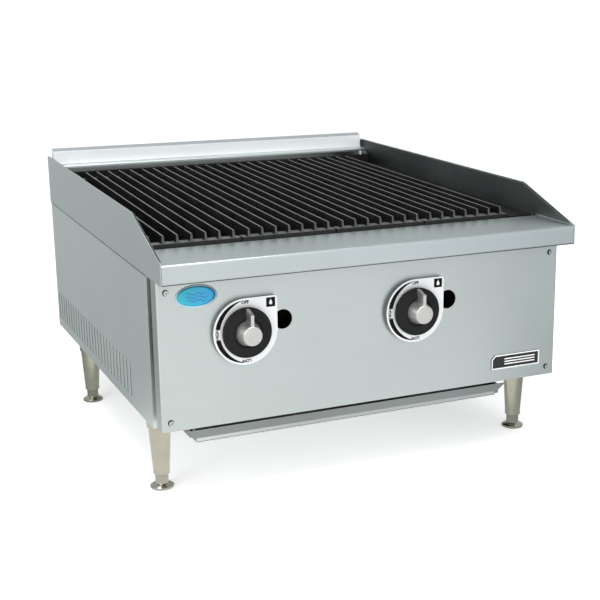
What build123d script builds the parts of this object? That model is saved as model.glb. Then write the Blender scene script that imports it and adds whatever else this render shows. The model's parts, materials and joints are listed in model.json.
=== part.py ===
"""Countertop gas charbroiler: sheet metal body, cast iron grates, two burners, drip tray.

Frame: +Z up from the floor, -Y is the front, X = 0 is the middle of the width.
Heights above panel_z and depths behind panel_y are given from the control panel's
lower edge and front face, which is how such a body is laid out.
"""

from build123d import *
import os

os.makedirs("parts", exist_ok=True)

# ---------------------------------------------------------------- driving dimensions
overall_width = 610
body_depth = 652  # control panel face to rear face
rail_projection = 36  # front rail ahead of the control panel
pipe_projection = 32  # gas pipe behind the rear face
panel_z = 105  # floor to the control panel's lower edge
panel_y = rail_projection - (rail_projection + body_depth + pipe_projection) / 2
sheet = 1.2
gap = 0.3  # clearance between parts that move against each other
fit = 0.05  # clearance of a shaft in its bore

# body
panel_width = 604.8
return_depth = 22
side_plane_x = 303.6  # outer face of the side panels
side_front = 37
side_bottom = -5.5
side_top = 204
liner_x = 302.2  # outer face of the liners
deck_slope = 0.025

# rail, guards and backguard
rail_bottom, rail_top = 200.7, 227.5
rail_depth = 97
guard_rear_bottom, guard_rear_top = 218, 298.4
guard_break_y, guard_break_z = 91.7, 276
ledge_y, ledge_z, ledge_lip = 620, 283, 5
backguard_top = 311.4
backguard_width = 594

# grates
grate_pitch = 139.5
grate_width = 137.3
grate_length = 539
grate_left = -300.4
grate_y, grate_z = 64, 224.4
grate_slope = 0.05
bar_count = 7
bar_height, cross_height = 21, 10.5
firebox_right = 260  # left face of the firebox's right wall

# gas
knob_xs = {"left": -186, "right": 64}
knob_z = 124
port_dx, port_dz, port_r = 55, 9, 13.3
burner_r, burner_wall, burner_spread = 16, 1.5, 90
manifold_r, manifold_wall = 13.35, 2.9
manifold_y, manifold_z, manifold_right = 52, 86, 284

# legs and feet
leg_x, leg_ys = 284.5, {"front": 76, "rear": 494}
leg_bottom = -85
foot_stem_r = 9.3

# drip tray
tray_left, tray_right = -256, 208
tray_top, tray_bottom = -4, -18
guide_front, guide_rear, guide_low = 73, 602, 20  # sloping plates that lead drips to the tray

# ---------------------------------------------------------------- reference planes
side = Plane(origin=(0, panel_y, panel_z), x_dir=(0, 1, 0), z_dir=(1, 0, 0))
front = Plane(origin=(0, panel_y, panel_z), x_dir=(1, 0, 0), z_dir=(0, -1, 0))
top = Plane(origin=(0, panel_y, panel_z), x_dir=(1, 0, 0), z_dir=(0, 0, 1))
grate_side = Plane(
    origin=(0, panel_y + grate_y, panel_z + grate_z),
    x_dir=(0, 1, grate_slope),
    z_dir=(1, 0, 0),
)
grate_top = Plane(
    origin=(0, panel_y + grate_y, panel_z + grate_z),
    x_dir=(1, 0, 0),
    z_dir=(0, -grate_slope, 1),
)
hands = (("left", -1), ("right", 1))


def save(piece, label):
    """Label a finished piece and write its STEP file."""
    piece.part.label = label
    export_step(piece.part, f"parts/{label}.step")


def sheet_start(sign, outer):
    """Low X of an upright sheet whose outer face is at sign * outer."""
    return -outer if sign < 0 else outer - sheet


def at(x=0.0, y=0.0, z=0.0):
    """A point given from the control panel's face and lower edge."""
    return (x, panel_y + y, panel_z + z)


def facing_rear(x, y, z):
    """A plane square to the depth through a point given as in at()."""
    return Plane(origin=at(x, y, z), z_dir=(0, 1, 0))


def facing_right(x, y, z):
    """A plane square to the width through a point given as in at()."""
    return Plane(origin=at(x, y, z), z_dir=(1, 0, 0))


# ---------------------------------------------------------------- control panel
panel_top = 224
panel_screw_x, panel_screw_zs = 289.5, (12, 184.6)
stem_hole_r, screw_hole_r = 6.5, 2.2
lower_flange = 17
half_panel = panel_width / 2

with BuildPart() as front_panel:
    with BuildSketch(top):
        with BuildLine():
            FilletPolyline(
                (-half_panel + sheet / 2, return_depth),
                (-half_panel + sheet / 2, sheet / 2),
                (half_panel - sheet / 2, sheet / 2),
                (half_panel - sheet / 2, return_depth),
                radius=2,
            )
        trace(line_width=sheet)
    extrude(amount=panel_top)
    with BuildSketch(top):
        with Locations((0, sheet)):
            Rectangle(
                panel_width - 4 * sheet,
                lower_flange - sheet,
                align=(Align.CENTER, Align.MIN),
            )
    extrude(amount=sheet)
    with BuildSketch(front):
        for knob_x in knob_xs.values():
            with Locations((knob_x, knob_z)):
                Circle(stem_hole_r)
            with Locations((knob_x + port_dx, knob_z + port_dz)):
                Circle(port_r)
        for screw_z in panel_screw_zs:
            with Locations((-panel_screw_x, screw_z), (panel_screw_x, screw_z)):
                Circle(screw_hole_r)
    extrude(amount=-2 * sheet, mode=Mode.SUBTRACT)
save(front_panel, "front_panel")

# ---------------------------------------------------------------- front rail
rail_back = rail_depth - rail_projection
rail_rise = rail_depth * deck_slope
rail_half = 303.4
rail_back_bottom = 206
with BuildPart() as front_rail:
    with BuildSketch(side.offset(-rail_half)):
        with BuildLine():
            FilletPolyline(
                (-0.5, rail_bottom + sheet / 2),
                (-rail_projection + sheet / 2, rail_bottom + sheet / 2),
                (-rail_projection + sheet / 2, rail_top - sheet / 2),
                (rail_back, rail_top + rail_rise - sheet / 2),
                (rail_back, rail_back_bottom),
                radius=3,
            )
        trace(line_width=sheet)
    extrude(amount=2 * rail_half)
save(front_rail, "front_rail")

# ---------------------------------------------------------------- guards, liners, side panels
louvre_count, louvre_pitch = 26, 19.6
louvre_y0, louvre_z0, louvre_height = 148, 8, 49.5
louvre_slot, louvre_blade, louvre_tilt = 9, 9.4, 33
blade_thickness, blade_inset, blade_shift = 0.9, 2.6, 0.5
louvre_mid_y = louvre_y0 + louvre_pitch * (louvre_count - 1) / 2
side_slope = 17  # rise of the side panel's top edge to the rear
guard_break_r = 14
liner_tip_y, liner_inset = -28.5, 1.5
side_flange = 18
guide_lap = 5  # how far the drip guides reach over the tray

for hand, sign in hands:
    with BuildPart() as guard:
        with BuildSketch(side.offset(sheet_start(sign, overall_width / 2))):
            with BuildLine():
                Polyline(
                    (-rail_projection, rail_bottom),
                    (body_depth, guard_rear_bottom),
                    (body_depth, guard_rear_top),
                    (guard_break_y, guard_break_z),
                    (-rail_projection, rail_top + 1),
                    close=True,
                )
            make_face()
            break_corner = vertices().sort_by_distance((guard_break_y, guard_break_z, 0))[0]
            fillet(break_corner, guard_break_r)
        extrude(amount=sheet)
    save(guard, f"{hand}_guard")

    # the liner lies inside the guard; the left one goes down into the firebox, where
    # a plate on it leads drips to the tray
    liner_bottom = 60 if sign < 0 else 200
    with BuildPart() as liner:
        with BuildSketch(side.offset(sheet_start(sign, liner_x))):
            with BuildLine():
                Polyline(
                    (rail_back + 2, liner_bottom),
                    (ledge_y - 2, liner_bottom),
                    (ledge_y - 2, ledge_z + 1),
                    (body_depth - 1, ledge_z + 1),
                    (body_depth - 1, guard_rear_top - liner_inset),
                    (guard_break_y, guard_break_z - liner_inset),
                    (liner_tip_y, rail_top + liner_inset + 1),
                    (rail_back + 2, rail_top + rail_rise + 3.5),
                    close=True,
                )
            make_face()
        extrude(amount=sheet)
        if sign < 0:
            with BuildSketch(front.offset(-guide_front)):
                with BuildLine():
                    Polyline(
                        (-liner_x + sheet / 2, liner_bottom + 6),
                        (-liner_x + sheet / 2, liner_bottom + 2.5),
                        (tray_left + guide_lap, guide_low),
                    )
                trace(line_width=sheet)
            extrude(amount=guide_front - guide_rear)
    save(liner, f"{hand}_liner")

    # side panel with pressed louvres: each blade hangs on its slot's rear edge and
    # leans inwards
    with BuildPart() as side_panel:
        with BuildSketch(side.offset(sheet_start(sign, side_plane_x))):
            with BuildLine():
                Polyline(
                    (side_front, side_bottom),
                    (body_depth, side_bottom),
                    (body_depth, side_top + side_slope),
                    (side_front, side_top),
                    close=True,
                )
            make_face()
            with Locations((louvre_mid_y, louvre_z0 + louvre_height / 2)):
                with GridLocations(louvre_pitch, 1, louvre_count, 1):
                    Rectangle(louvre_slot, louvre_height, mode=Mode.SUBTRACT)
        extrude(amount=sheet)
        # front edge folded inwards
        with BuildSketch(top.offset(side_bottom)):
            with Locations((sign * (side_plane_x - side_flange / 2), side_front + sheet / 2)):
                Rectangle(side_flange, sheet)
        extrude(amount=side_top - side_bottom)
        blade_x = sign * (side_plane_x - sheet / 2 - blade_inset)
        with BuildSketch(top.offset(louvre_z0)):
            for number in range(louvre_count):
                with Locations((blade_x, louvre_y0 + blade_shift + number * louvre_pitch)):
                    Rectangle(blade_thickness, louvre_blade, rotation=-sign * louvre_tilt)
        extrude(amount=louvre_height)
    save(side_panel, f"{hand}_side_panel")

# ---------------------------------------------------------------- rear of the body
inner_half = 302.2
pipe_hole_r = 14.5
vent_count, vent_pitch, vent_length, vent_width = 15, 24, 70, 7
vent_z = 60
with BuildPart() as rear_panel:
    with BuildSketch(side.offset(-inner_half)):
        with BuildLine():
            FilletPolyline(
                (body_depth - sheet / 2, side_bottom),
                (body_depth - sheet / 2, ledge_z - sheet / 2),
                (ledge_y + sheet / 2, ledge_z - sheet / 2),
                (ledge_y + sheet / 2, ledge_z - ledge_lip),
                radius=1.5,
            )
        trace(line_width=sheet)
    extrude(amount=2 * inner_half)
    with BuildSketch(front.offset(-body_depth - 1)):
        with Locations((manifold_right, manifold_z)):
            Circle(pipe_hole_r)
        with Locations((0, vent_z)):
            with GridLocations(vent_pitch, 1, vent_count, 1):
                SlotOverall(vent_length, vent_width, rotation=90)
    extrude(amount=5, mode=Mode.SUBTRACT)
save(rear_panel, "rear_panel")

backguard_depth, backguard_fall, backguard_foot = 12, 5.5, 8
backguard_front = body_depth - backguard_depth
with BuildPart() as backguard:
    with BuildSketch(side.offset(-backguard_width / 2)):
        with BuildLine():
            FilletPolyline(
                (body_depth - sheet / 2, ledge_z),
                (body_depth - sheet / 2, backguard_top - sheet / 2),
                (backguard_front, backguard_top - backguard_fall),
                (backguard_front, ledge_z + sheet / 2),
                (backguard_front + backguard_foot, ledge_z + sheet / 2),
                radius=1.2,
            )
        trace(line_width=sheet)
    extrude(amount=backguard_width)
save(backguard, "backguard")

# ---------------------------------------------------------------- base
channel_height, channel_lip, channel_width = 32, 11, 38
stud_hole_r = 5.3
for hand, sign in hands:
    outer_x = sign * (inner_half - sheet / 2)
    inner_x = sign * (inner_half - channel_width)
    with BuildPart() as channel:
        with BuildSketch(front.offset(-side_front - 2)):
            with BuildLine():
                FilletPolyline(
                    (outer_x, side_bottom + channel_lip),
                    (outer_x, side_bottom + sheet / 2),
                    (inner_x, side_bottom + sheet / 2),
                    (inner_x, side_bottom + channel_height),
                    radius=1.5,
                )
            trace(line_width=sheet)
        extrude(amount=-(body_depth - side_front - 6))
        with BuildSketch(top.offset(side_bottom - 1)):
            with Locations(*[(sign * leg_x, leg_y) for leg_y in leg_ys.values()]):
                Circle(stud_hole_r)
        extrude(amount=5, mode=Mode.SUBTRACT)
    save(channel, f"base_channel_{hand}")

cross_half = inner_half - channel_width - sheet
cross_member_top, cross_member_bottom, cross_member_flange = 26, 4, 32
for place, cross_y in (("front", 26), ("rear", 604)):
    with BuildPart() as cross_member:
        with BuildSketch(side.offset(-cross_half)):
            with BuildLine():
                FilletPolyline(
                    (cross_y, cross_member_top),
                    (cross_y, cross_member_bottom),
                    (cross_y + cross_member_flange, cross_member_bottom),
                    radius=1.5,
                )
            trace(line_width=sheet)
        extrude(amount=2 * cross_half)
    save(cross_member, f"base_cross_{place}")

# ---------------------------------------------------------------- firebox
firebox_front_y, firebox_rear_y = 71, 611
firebox_floor = 60
firebox_front_height, firebox_rear_height = 158, 212
firebox_left = -liner_x + sheet
deck_right = liner_x - sheet - gap
firebox_width = firebox_right - firebox_left
firebox_mid = (firebox_right + firebox_left) / 2
burner_hole_r = burner_r + 3

with BuildPart() as firebox_front:
    with BuildSketch(front.offset(-firebox_front_y)):
        with Locations((firebox_mid, firebox_floor)):
            Rectangle(firebox_width, firebox_front_height, align=(Align.CENTER, Align.MIN))
        for knob_x in knob_xs.values():
            with Locations((knob_x, knob_z)):
                Circle(burner_hole_r, mode=Mode.SUBTRACT)
            with Locations((knob_x + port_dx, knob_z + port_dz)):
                Circle(port_r, mode=Mode.SUBTRACT)
    extrude(amount=-sheet)
save(firebox_front, "firebox_front")

# the rear wall widens above the right wall to close the end of the deck
firebox_shoulder = 205
firebox_rear_top = firebox_floor + firebox_rear_height
with BuildPart() as firebox_rear:
    with BuildSketch(front.offset(-firebox_rear_y)):
        with BuildLine():
            Polyline(
                (firebox_left, firebox_floor),
                (firebox_right + sheet, firebox_floor),
                (firebox_right + sheet, firebox_shoulder),
                (deck_right, firebox_shoulder),
                (deck_right, firebox_rear_top),
                (firebox_left, firebox_rear_top),
                close=True,
            )
        make_face()
    extrude(amount=-sheet)
save(firebox_rear, "firebox_rear")

wall_front, wall_rear = firebox_front_y, firebox_rear_y
deck_lift = 5  # deck above the plane that the grates stand on


def under_deck(y):
    """Height of the deck's underside at a depth."""
    return grate_z + deck_lift + grate_slope * (y - grate_y)


with BuildPart() as firebox_right_wall:
    with BuildSketch(side.offset(firebox_right)):
        with BuildLine():
            Polyline(
                (wall_front, firebox_floor),
                (wall_rear, firebox_floor),
                (wall_rear, under_deck(wall_rear)),
                (wall_front, under_deck(wall_front)),
                close=True,
            )
        make_face()
    extrude(amount=sheet)
    with BuildSketch(front.offset(-guide_front)):
        with BuildLine():
            Polyline(
                (firebox_right + sheet / 2, firebox_floor + 3),
                (firebox_right + sheet / 2, firebox_floor),
                (tray_right - guide_lap, guide_low),
            )
        trace(line_width=sheet)
    extrude(amount=guide_front - guide_rear)
save(firebox_right_wall, "firebox_right_wall")

# the deck closes the strip between the grates and the right guard
deck_length = 546.5
with BuildPart() as right_deck:
    with BuildSketch(grate_top.offset(deck_lift + 0.1)):
        with Locations(((firebox_right + deck_right) / 2, 0)):
            Rectangle(deck_right - firebox_right, deck_length, align=(Align.CENTER, Align.MIN))
    extrude(amount=sheet)
save(right_deck, "right_deck")

# grate rests follow the slope of the grates, just under them
rest_length = firebox_width - 1
rest_flange, rest_web = 14, 4
for place, rest_y in (("front", 16), ("rear", grate_length - 10)):
    with BuildPart() as grate_rest:
        with BuildSketch(grate_side.offset(firebox_left + 0.5)):
            with Locations((rest_y, -gap)):
                Rectangle(rest_flange, rest_web, align=(Align.CENTER, Align.MAX))
            with Locations((rest_y, -gap - rest_web)):
                Rectangle(rest_web, rest_flange, align=(Align.CENTER, Align.MAX))
        extrude(amount=rest_length)
    save(grate_rest, f"grate_rest_{place}")

# ---------------------------------------------------------------- grates
bar_pitch = grate_width / bar_count
bar_half_base, bar_half_top = 2.9, 1.2
cross_depth, rib_depth, rib_height = 15, 7, 9
rib_places = (0.36, 0.68)  # shares of the length
nose_step, nose_back = 1.2, 3.6
bar_plane = Plane(
    origin=(0, panel_y + grate_y, panel_z + grate_z),
    x_dir=(1, 0, 0),
    z_dir=(0, 1, grate_slope),
)
for number in range(4):
    left_x = grate_left + number * grate_pitch
    with BuildPart() as grate:
        # tapered bars, drawn across the slope and run to the rear
        with BuildSketch(bar_plane):
            for bar in range(bar_count):
                bar_x = left_x + (bar + 0.5) * bar_pitch
                with BuildLine():
                    Polyline(
                        (bar_x - bar_half_base, 0),
                        (bar_x - bar_half_top, -bar_height),
                        (bar_x + bar_half_top, -bar_height),
                        (bar_x + bar_half_base, 0),
                        close=True,
                    )
                make_face()
        extrude(amount=grate_length)
        # cross members at both ends and two thin ribs between
        with BuildSketch(grate_side.offset(left_x)):
            with Locations((0, 0)):
                Rectangle(cross_depth, cross_height, align=(Align.MIN, Align.MIN))
            with Locations((grate_length, 0)):
                Rectangle(cross_depth, cross_height, align=(Align.MAX, Align.MIN))
            with Locations(*[(grate_length * share, 0) for share in rib_places]):
                Rectangle(rib_depth, rib_height, align=(Align.CENTER, Align.MIN))
        extrude(amount=grate_width)
        # the bars' ends lean back above the cross members
        with BuildSketch(grate_side.offset(left_x - 1)):
            for nose, inward in ((0, 1), (grate_length, -1)):
                with BuildLine():
                    Polyline(
                        (nose - inward, cross_height),
                        (nose + inward * nose_step, cross_height),
                        (nose + inward * nose_back, bar_height + 1),
                        (nose - inward, bar_height + 1),
                        close=True,
                    )
                make_face()
        extrude(amount=grate_width + 2, mode=Mode.SUBTRACT)
    save(grate, f"grate_{number + 1}")

# ---------------------------------------------------------------- burners and radiants
burner_y0, burner_y1 = 66, 520
burner_short = 30  # how much further back the closed leg begins
flame_count, flame_pitch, flame_y0, flame_r = 14, 28, 60, 1.6
for hand, knob_x in knob_xs.items():
    with BuildPart() as burner:
        with BuildLine() as burner_path:
            Line(at(knob_x, burner_y0, knob_z), at(knob_x, burner_y1, knob_z))
            ThreePointArc(
                at(knob_x, burner_y1, knob_z),
                at(knob_x + burner_spread / 2, burner_y1 + burner_spread / 2, knob_z),
                at(knob_x + burner_spread, burner_y1, knob_z),
            )
            Line(
                at(knob_x + burner_spread, burner_y1, knob_z),
                at(knob_x + burner_spread, burner_y0 + burner_short, knob_z),
            )
        with BuildSketch(facing_rear(knob_x, burner_y0, knob_z)):
            Circle(burner_r)
            Circle(burner_r - burner_wall, mode=Mode.SUBTRACT)
        sweep(path=burner_path.wire())
        with BuildSketch(facing_rear(knob_x + burner_spread, burner_y0 + burner_short, knob_z)):
            Circle(burner_r - burner_wall / 2)
        extrude(amount=2)
        # flame ports on both flanks of both legs
        for leg_dx in (0, burner_spread):
            with Locations(
                *[
                    at(knob_x + leg_dx, burner_y0 + flame_y0 + flame_pitch * port, knob_z + 4)
                    for port in range(flame_count)
                ]
            ):
                Cylinder(flame_r, 2 * burner_r + 4, rotation=(0, 90, 0), mode=Mode.SUBTRACT)
    save(burner, f"burner_{hand}")

radiant_y0, radiant_length = 88, 500
radiant_half, radiant_rise, radiant_base = 38, 34, 160
radiant_thickness, radiant_foot = 2.5, 6
radiant_low = radiant_base + radiant_thickness / 2
support_inset, support_size = 12, 10
radiant_number = 0
for knob_x in knob_xs.values():
    for leg_dx in (0, burner_spread):
        radiant_number += 1
        radiant_x = knob_x + leg_dx
        with BuildPart() as radiant:
            with BuildSketch(front.offset(-radiant_y0)):
                with BuildLine():
                    FilletPolyline(
                        (radiant_x - radiant_half, radiant_low),
                        (radiant_x - radiant_half + radiant_foot, radiant_low),
                        (radiant_x, radiant_base + radiant_rise),
                        (radiant_x + radiant_half - radiant_foot, radiant_low),
                        (radiant_x + radiant_half, radiant_low),
                        radius=3,
                    )
                trace(line_width=radiant_thickness)
            extrude(amount=-radiant_length)
        save(radiant, f"radiant_{radiant_number}")

with BuildPart() as radiant_supports:
    with BuildSketch(side.offset(firebox_left + 0.5)):
        with Locations(
            (radiant_y0 + support_inset, radiant_base),
            (radiant_y0 + radiant_length - support_inset, radiant_base),
        ):
            Rectangle(support_size, support_size, align=(Align.CENTER, Align.MAX))
    extrude(amount=rest_length)
save(radiant_supports, "radiant_supports")

burner_rest_y = 480
with BuildPart() as burner_rest:
    with BuildSketch(side.offset(firebox_left + 0.5)):
        with Locations((burner_rest_y, knob_z - burner_r)):
            Rectangle(rest_flange, rest_web, align=(Align.CENTER, Align.MAX))
        with Locations((burner_rest_y, knob_z - burner_r - rest_web)):
            Rectangle(rest_web, rest_flange, align=(Align.CENTER, Align.MAX))
    extrude(amount=rest_length)
save(burner_rest, "burner_rest")

# ---------------------------------------------------------------- gas train
spigot_r, tap_depth = 6, 14
pilot_dx, pilot_r = 46, 3
thread_r, thread_length = 13, 20
manifold_left = -226
pipe_end_y = body_depth + pipe_projection
with BuildPart() as gas_manifold:
    with BuildLine() as manifold_path:
        FilletPolyline(
            at(manifold_left, manifold_y, manifold_z),
            at(manifold_right, manifold_y, manifold_z),
            at(manifold_right, pipe_end_y, manifold_z),
            radius=34,
        )
    with BuildSketch(facing_right(manifold_left, manifold_y, manifold_z)):
        Circle(manifold_r)
        Circle(manifold_r - manifold_wall, mode=Mode.SUBTRACT)
    sweep(path=manifold_path.wire())
    with BuildSketch(facing_right(manifold_left, manifold_y, manifold_z)):
        Circle(manifold_r - manifold_wall / 2)
    extrude(amount=5)
    for knob_x in knob_xs.values():
        with Locations(at(knob_x, manifold_y, manifold_z + manifold_r)):
            Cylinder(spigot_r, tap_depth, mode=Mode.SUBTRACT)
        with Locations(at(knob_x + pilot_dx, manifold_y, manifold_z + manifold_r)):
            Cylinder(pilot_r + fit, tap_depth, mode=Mode.SUBTRACT)
    # the threaded tail that the gas supply screws onto
    with BuildSketch(facing_rear(manifold_right, pipe_end_y - thread_length, manifold_z)):
        Circle(manifold_r + 1)
        Circle(thread_r, mode=Mode.SUBTRACT)
    extrude(amount=thread_length, mode=Mode.SUBTRACT)
save(gas_manifold, "gas_manifold")

pilot_head_y = 126
stem_r = 4
stem_front, stem_back = -31, 34
valve_front, valve_back, valve_neck = 8, 60, 12
valve_bore = 30.5
hood_length, hood_r, orifice_r = 8, 5, 1.1
with BuildPart() as orifice_hoods:
    for knob_x in knob_xs.values():
        with BuildSketch(facing_rear(knob_x, valve_back, knob_z)):
            RegularPolygon(hood_r + 2, 6)
        extrude(amount=hood_length)
        with BuildSketch(facing_rear(knob_x, valve_back + hood_length, knob_z)):
            Circle(hood_r)
            Circle(orifice_r, mode=Mode.SUBTRACT)
        extrude(amount=hood_length)
save(orifice_hoods, "orifice_hoods")

spigot_top, spigot_bottom = knob_z - 13, manifold_z + 9
pilot_head_r, pilot_head_length = 5.5, 16
for hand, knob_x in knob_xs.items():
    with BuildPart() as valve_body:
        with BuildSketch(facing_rear(knob_x, valve_front, knob_z)):
            Circle(9.5)
        extrude(amount=valve_neck)
        with BuildSketch(facing_rear(knob_x, valve_front + valve_neck, knob_z)):
            RectangleRounded(30, 28, 5)
        extrude(amount=valve_back - valve_front - valve_neck)
        with Locations(at(knob_x, manifold_y, spigot_top)):
            Cylinder(spigot_r, spigot_top - spigot_bottom, align=(Align.CENTER, Align.CENTER, Align.MAX))
        with Locations(at(knob_x, valve_front, knob_z)):
            Cylinder(
                stem_r + fit,
                valve_bore,
                rotation=(90, 0, 0),
                align=(Align.CENTER, Align.CENTER, Align.MAX),
                mode=Mode.SUBTRACT,
            )
    save(valve_body, f"valve_body_{hand}")

    with BuildPart() as valve_stem:
        with BuildSketch(facing_rear(knob_x, stem_front, knob_z)):
            Circle(stem_r)
        extrude(amount=stem_back - stem_front)
        fillet(valve_stem.edges().sort_by(Axis.Y)[0], 0.8)
    save(valve_stem, f"valve_stem_{hand}")

    # the pilot passes beside the lighting port and is fed from the manifold
    pilot_x, pilot_z = knob_x + pilot_dx, knob_z + port_dz
    pilot_foot = at(pilot_x, manifold_y, manifold_z + manifold_r - 3)
    pilot_neck = at(pilot_x, pilot_head_y, pilot_z)
    with BuildPart() as pilot:
        with BuildLine() as pilot_path:
            FilletPolyline(pilot_foot, at(pilot_x, manifold_y, pilot_z), pilot_neck, radius=8)
        with BuildSketch(Plane(origin=pilot_foot)):
            Circle(pilot_r)
        sweep(path=pilot_path.wire())
        with BuildSketch(Plane(origin=pilot_neck, z_dir=(0, 1, 0))):
            Circle(pilot_head_r)
        extrude(amount=pilot_head_length)
    save(pilot, f"pilot_{hand}")

# ---------------------------------------------------------------- knobs and dial plates
# depths here are ahead of the control panel's face
plate_r, plate_thickness, plate_corner = 44.5, 7, 4
skirt_r, skirt_back, skirt_front, rim_cut = 33.5, 10.4, 15.6, 1
boss_r, boss_top_r, groove_r, boss_front = 28.5, 21, 18.8, 17.6
hub_core_r, hub_base_r, hub_front_r = 12.6, 16.8, 12.8
hub_front, hub_edge = 34.6, 0.8
ring_r, ring_rise = 7.6, 0.5
fin_thickness, fin_front, fin_low, fin_edge, fin_tip = 4.5, 33.4, 8, 27.2, 32.4
for hand, knob_x in knob_xs.items():
    turning_plane = Plane(origin=at(knob_x, 0, knob_z), x_dir=(1, 0, 0), z_dir=(0, 0, 1))
    turning_axis = Axis(at(knob_x, 0, knob_z), (0, 1, 0))
    # flat black skirt with a low boss and a groove round the hub
    with BuildPart() as knob_skirt:
        with BuildSketch(turning_plane):
            with BuildLine():
                Polyline(
                    (hub_core_r, -skirt_back),
                    (skirt_r, -skirt_back),
                    (skirt_r, -skirt_front + rim_cut),
                    (skirt_r - rim_cut, -skirt_front),
                    (boss_r, -skirt_front),
                    (boss_top_r, -boss_front),
                    (groove_r + 1, -boss_front),
                    (groove_r, -skirt_front),
                    (hub_core_r, -skirt_front),
                    close=True,
                )
            make_face()
        revolve(axis=turning_axis)
        with BuildSketch(front.offset(skirt_front)):
            with Locations((knob_x, knob_z)):
                Rectangle(fin_thickness + gap, skirt_r + 1, align=(Align.CENTER, Align.MIN))
        extrude(amount=boss_front, mode=Mode.SUBTRACT)
    save(knob_skirt, f"knob_skirt_{hand}")

    with BuildPart() as knob_hub:
        with BuildSketch(turning_plane):
            with BuildLine():
                Polyline(
                    (0, -skirt_back),
                    (hub_core_r, -skirt_back),
                    (hub_core_r, -skirt_front),
                    (hub_base_r, -skirt_front),
                    (hub_front_r, -hub_front + hub_edge),
                    (hub_front_r - hub_edge, -hub_front),
                    (0, -hub_front),
                    close=True,
                )
            make_face()
        revolve(axis=turning_axis)
        # raised ring on the hub's face
        with BuildSketch(front.offset(hub_front)):
            with Locations((knob_x, knob_z)):
                Circle(ring_r)
                Circle(ring_r - 1, mode=Mode.SUBTRACT)
        extrude(amount=ring_rise)
        # pointer fin from the hub to the skirt's top
        with BuildSketch(side.offset(knob_x - fin_thickness / 2)):
            with BuildLine():
                Polyline(
                    (-skirt_front, knob_z + fin_low),
                    (-fin_front, knob_z + fin_low),
                    (-fin_front, knob_z + fin_edge),
                    (-skirt_front, knob_z + fin_tip),
                    close=True,
                )
            make_face()
        extrude(amount=fin_thickness)
        # bore for the valve stem
        with BuildSketch(front.offset(skirt_back)):
            with Locations((knob_x, knob_z)):
                Circle(stem_r + fit)
        extrude(amount=-stem_front - skirt_back + 1, mode=Mode.SUBTRACT)
    save(knob_hub, f"knob_hub_{hand}")

    # thick cast plate, round but for its squared upper right corner
    with BuildPart() as dial_plate:
        with BuildSketch(front):
            with Locations((knob_x, knob_z)):
                Circle(plate_r)
                Rectangle(plate_r, plate_r, align=(Align.MIN, Align.MIN))
            squared_corner = vertices().group_by(Axis.Y)[-1].sort_by(Axis.X)[-1]
            fillet(squared_corner, plate_corner)
            with Locations((knob_x, knob_z)):
                Circle(stem_hole_r, mode=Mode.SUBTRACT)
        extrude(amount=plate_thickness)
    save(dial_plate, f"dial_plate_{hand}")

# ---------------------------------------------------------------- badge and screws
badge_left, badge_right, badge_bottom, badge_top = 194, 276, 18.5, 40
badge_cut, badge_thickness = 6, 1
with BuildPart() as badge:
    with BuildSketch(front):
        with BuildLine():
            Polyline(
                (badge_left, badge_bottom),
                (badge_right, badge_bottom),
                (badge_right, badge_top),
                (badge_left + badge_cut, badge_top),
                (badge_left, badge_top - badge_cut),
                close=True,
            )
        make_face()
    extrude(amount=badge_thickness)
save(badge, "badge")

screw_head_r, screw_head_height, screw_shank_r, screw_length = 4.3, 2.4, 2.1, 8
cross_slot, cross_slot_width, cross_slot_turn = 4.4, 0.9, 28
with BuildPart() as panel_screws:
    for screw_x in (-panel_screw_x, panel_screw_x):
        for screw_z in panel_screw_zs:
            with BuildSketch(front):
                with Locations((screw_x, screw_z)):
                    Circle(screw_head_r)
            extrude(amount=screw_head_height, taper=22)
            with BuildSketch(front):
                with Locations((screw_x, screw_z)):
                    Circle(screw_shank_r)
            extrude(amount=-screw_length)
            with BuildSketch(front.offset(screw_head_height - 1)):
                with Locations((screw_x, screw_z)):
                    Rectangle(cross_slot, cross_slot_width, rotation=cross_slot_turn)
                    Rectangle(cross_slot_width, cross_slot, rotation=cross_slot_turn)
            extrude(amount=2, mode=Mode.SUBTRACT)
save(panel_screws, "panel_screws")

# ---------------------------------------------------------------- drip tray
pan_y0, pan_y1, pan_wall = 1.5, 596, 1
plate_left, plate_right = -270, 220
hem_left, hem_right = -256.5, 200
front_plate_top, front_plate_bottom = -3.4, -18.8
hem_depth, hem_height = 2.4, 4.6
plate_front = pan_y0 - sheet
with BuildPart() as drip_tray:
    with BuildSketch(top.offset(tray_bottom)):
        with Locations(((tray_left + tray_right) / 2, pan_y0)):
            Rectangle(tray_right - tray_left, pan_y1 - pan_y0, align=(Align.CENTER, Align.MIN))
    extrude(amount=tray_top - tray_bottom)
    pan_top = drip_tray.faces().sort_by(Axis.Z)[-1]
    offset(amount=-pan_wall, openings=pan_top)
    with BuildSketch(front.offset(-pan_y0)):
        with BuildLine():
            Polyline(
                (hem_left, front_plate_bottom),
                (hem_right, front_plate_bottom),
                (plate_right, front_plate_top),
                (plate_left, front_plate_top),
                close=True,
            )
        make_face()
    extrude(amount=sheet)
    # lower hem, folded forwards and shorter than the plate's top edge
    with BuildSketch(side.offset(hem_left)):
        with BuildLine():
            Polyline(
                (plate_front, front_plate_bottom),
                (plate_front, front_plate_bottom + hem_height),
                (plate_front - hem_depth, front_plate_bottom + sheet),
                (plate_front - hem_depth, front_plate_bottom),
                close=True,
            )
        make_face()
    extrude(amount=hem_right - hem_left)
save(drip_tray, "drip_tray")

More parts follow.
